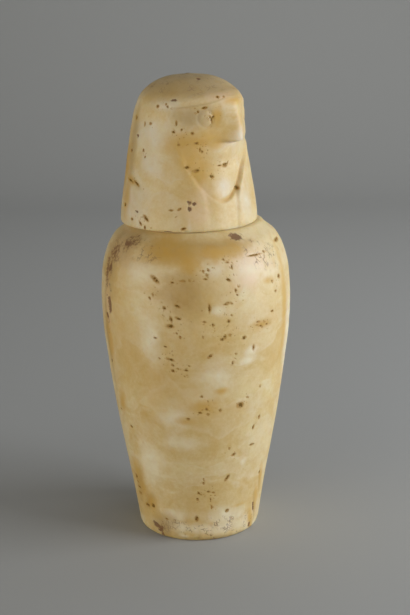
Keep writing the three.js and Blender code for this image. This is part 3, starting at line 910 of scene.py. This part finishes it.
class Wire:
    """One output socket that can be used in a sum."""

    def __init__(self, tree, socket):
        self.tree, self.socket = tree, socket

    def make(self, kind, settings=None, inputs=None, out=0):
        """A node of any kind, with its settings, its inputs and one output."""
        node = self.tree.nodes.new(kind)
        for name, value in (settings or {}).items():
            setattr(node, name, value)
        for key, value in (inputs or {}).items():
            if isinstance(value, Wire):
                self.tree.links.new(value.socket, node.inputs[key])
            else:
                node.inputs[key].default_value = value
        return Wire(self.tree, node.outputs[out])

    def maths(self, operation, *values):
        return self.make("ShaderNodeMath", {"operation": operation}, dict(enumerate(values)))

    def __add__(self, other):
        return self.maths("ADD", self, other)

    def __sub__(self, other):
        return self.maths("SUBTRACT", self, other)

    def __rsub__(self, other):
        return self.maths("SUBTRACT", other, self)

    def __mul__(self, other):
        return self.maths("MULTIPLY", self, other)

    def __truediv__(self, other):
        return self.maths("DIVIDE", self, other)

    __radd__, __rmul__ = __add__, __mul__

    def step(self, low, high):
        """An eased step from 0 to 1 between low and high."""
        settings = {"interpolation_type": "SMOOTHSTEP"}
        return self.make("ShaderNodeMapRange", settings, {0: self, 1: low, 2: high})

    def paint(self, under, over):
        """The colour under, covered by over where this wire is 1."""
        inputs = {MIX_FACTOR: self, MIX_UNDER: under, MIX_OVER: over}
        return self.make("ShaderNodeMix", {"data_type": "RGBA"}, inputs, MIX_RESULT)

    def ridge(self, width):
        """A line where a noise passes its middle value."""
        away = self.maths("ABSOLUTE", self - 0.5)
        return self.maths("MAXIMUM", 1 - away / width, 0)

    def noise(self, scale, detail=3, roughness=0.55, out=0):
        inputs = {"Vector": self, "Scale": scale, "Detail": detail, "Roughness": roughness}
        return self.make("ShaderNodeTexNoise", None, inputs, out)

    def cells(self, feature, scale):
        """A pattern of cells, measured from their middles or their edges."""
        inputs = {"Vector": self, "Scale": scale}
        return self.make("ShaderNodeTexVoronoi", {"feature": feature}, inputs)

    def stretch(self, x, y, z):
        return self.make("ShaderNodeMapping", None, {"Vector": self, "Scale": (x, y, z)})

    def layer(self, name):
        """One of the masks that were kept on the mesh."""
        return self.make("ShaderNodeAttribute", {"attribute_name": name}, None, LAYER_NUMBER)


print("wires ready")

# %% [markdown]
# ## Travertine
# The stone is built up in this order: a honey ground that drifts towards
# cream in soft clouds, in nearly level bands and in a fine crumb; milky fronts
# and wisps; pale, rosy and tan patches, and amber stains where iron has soaked
# in; a net of crazing, with flecks and specks of ochre; brown pits with ochre
# round them; and purple-brown hollows. Some of the pale patches are painted
# highlights: the soft reflections of windows on the jar's shoulder and the
# sheen on its lit right edge. Some of the tan and amber is painted shade: a
# band just under the lid's edge, which is partly stain as well, and a line
# along the throat's channel on the lid. Light enters real travertine and comes
# out a few millimetres away, which takes the hardness off every edge, so the
# shader has some subsurface scattering. Its amounts are plain numbers on the
# shader.

# %% The stone's material
def colour(r, g, b):
    return (r, g, b, 1)


HONEY, CREAM = colour(0.62, 0.425, 0.15), colour(0.76, 0.63, 0.355)
MILK, DULL_MILK = colour(0.86, 0.79, 0.60), colour(0.74, 0.68, 0.55)
ROSE, TAN = colour(0.76, 0.53, 0.35), colour(0.42, 0.28, 0.105)
AMBER, OCHRE = colour(0.61, 0.365, 0.07), colour(0.43, 0.23, 0.035)
RUST, DUSK = colour(0.19, 0.10, 0.006), colour(0.20, 0.095, 0.04)
WARP = (0.06, 0.06, 0.06)
CLOUD_SCALE, MOTTLE_SCALE, CRUMB_SCALE, FINE_SCALE = 19, 95, 330, 560
NET_SCALE, SPECK_SCALE = 300.0, 330.0
BUMP_STRENGTH, BUMP_DISTANCE = 0.6, 0.0007
GLOW_SHARE, GLOW_COLOURS, GLOW_DEPTH = 0.45, (1.0, 0.66, 0.32), 0.011
STONE_IOR = 1.5


def travertine(name, milk):
    """The whole stone; milk is the colour of its palest clouds."""
    material = bpy.data.materials.new(name)
    material.use_nodes = True
    tree = material.node_tree
    shader = tree.nodes["Principled BSDF"]
    start = Wire(tree, None)
    place = start.make("ShaderNodeTexCoord", None, None, OBJECT_PLACE)
    drift = place.noise(11, 3, out=NOISE_COLOUR)
    bend = {0: drift, 1: WARP, 2: place}
    warped = place.make("ShaderNodeVectorMath", {"operation": "MULTIPLY_ADD"}, bend)

    # ground: soft clouds, level bands and a fine crystalline crumb
    clouds = warped.noise(CLOUD_SCALE, 5, 0.6)
    bands = warped.stretch(5, 5, 34).noise(1.0, 4)
    mottle = warped.noise(MOTTLE_SCALE, 4, 0.6)
    fine = place.noise(FINE_SCALE, 3)
    crumb = place.noise(CRUMB_SCALE, 3, 0.7)
    ground = clouds * 0.55 + bands * 0.35 + mottle * 0.25 + crumb * 0.20 + fine * 0.14
    base = ground.step(0.55, 0.97).paint(HONEY, CREAM)

    # milky fronts: one side of a wandering line is paler, and it fades away from the line
    front = warped.stretch(1, 1, 1.7).noise(13, 3, 0.5)
    milky = front.step(0.50, 0.53) * (1 - front.step(0.50, 0.64))
    base = (milky * (0.04 + 0.34 * mottle)).paint(base, milk)
    wisp = warped.stretch(1, 1, 1.5).noise(30, 5, 0.6).ridge(0.10)
    wisp = wisp * place.noise(13, 2).step(0.46, 0.64)
    base = (wisp * 0.22).paint(base, milk)

    # pale patches: pale stone, and on the jar painted highlights, the reflections of windows and the
    # sheen on the lit side
    base = (place.layer("pale") * (0.25 + 0.75 * mottle)).paint(base, milk)
    base = (place.layer("rose") * (0.25 + 0.5 * mottle)).paint(base, ROSE)
    # tan and amber: stains, and on the jar also painted shade in a band just under the lid's edge
    base = (place.layer("tan") * (0.40 + 0.9 * mottle)).paint(base, TAN)
    # on the lid the amber also holds painted shade along the throat's channel
    base = (place.layer("amber") * (0.40 + 0.8 * clouds)).paint(base, AMBER)

    # crazing: a broken net of brown lines
    net = warped.cells("DISTANCE_TO_EDGE", NET_SCALE)
    broken = place.noise(150, 2).step(0.50, 0.62)
    crazed = (place.layer("craze") + 0.5 * (mottle - 0.5)).step(0.25, 0.8)
    lines = (1 - net.step(0.02, 0.15)) * broken * crazed
    base = (lines * 0.65).paint(base, DUSK)

    # flecks everywhere, specks where pits gather, and pits with ochre round them
    cells = warped.cells("F1", SPECK_SCALE)
    herd = (place.layer("herd") + 1.4 * (mottle - 0.5)).step(0.45, 0.9)
    speck = (1 - cells.step(0.08, 0.30)) * herd
    fleck = fine.step(0.58, 0.70) * mottle.step(0.42, 0.60)
    base = (fleck * 0.16).paint(base, OCHRE)
    base = (speck * 0.7).paint(base, OCHRE)
    pit = place.layer("pit")
    hole = (pit + 1.7 * (fine - 0.5)).step(0.60, 0.84)
    base = (pit.step(0.03, 0.55) * 0.80).paint(base, OCHRE)
    base = (hole * 0.96).paint(base, RUST)
    hollow = (place.layer("dusk") + 1.6 * (crumb - 0.5)).step(0.30, 0.80)
    base = (hollow * 0.88).paint(base, DUSK)

    rough = 0.40 + 0.18 * mottle + 0.4 * hole + 0.3 * hollow
    height = crumb * 0.12 + mottle * 0.35 - speck * 0.4 - hole * 0.6 - lines * 0.3
    bumps = {"Strength": BUMP_STRENGTH, "Distance": BUMP_DISTANCE, "Height": height}
    bump = place.make("ShaderNodeBump", None, bumps)
    for wire, socket in ((base, "Base Color"), (rough, "Roughness"), (bump, "Normal")):
        tree.links.new(wire.socket, shader.inputs[socket])
    shader.inputs["Subsurface Weight"].default_value = GLOW_SHARE
    shader.inputs["Subsurface Radius"].default_value = GLOW_COLOURS
    shader.inputs["Subsurface Scale"].default_value = GLOW_DEPTH
    shader.inputs["IOR"].default_value = STONE_IOR
    return material


for piece, name, milk in ((jar, "jar_travertine", MILK), (lid, "lid_travertine", DULL_MILK)):
    piece.data.materials.clear()
    piece.data.materials.append(travertine(name, milk))
    print(piece.name, "nodes:", len(piece.data.materials[0].node_tree.nodes))

# %% [markdown]
# ## Swapping in the fine pieces
# Each fine piece stands for its plain one, which is hidden, and rides on the root body.

# %% Replace the plain pieces
for piece, node, slot in ((jar, "jar", "jar_stone"), (lid, "lid", "lid_stone")):
    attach(piece, "root")
    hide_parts(node)
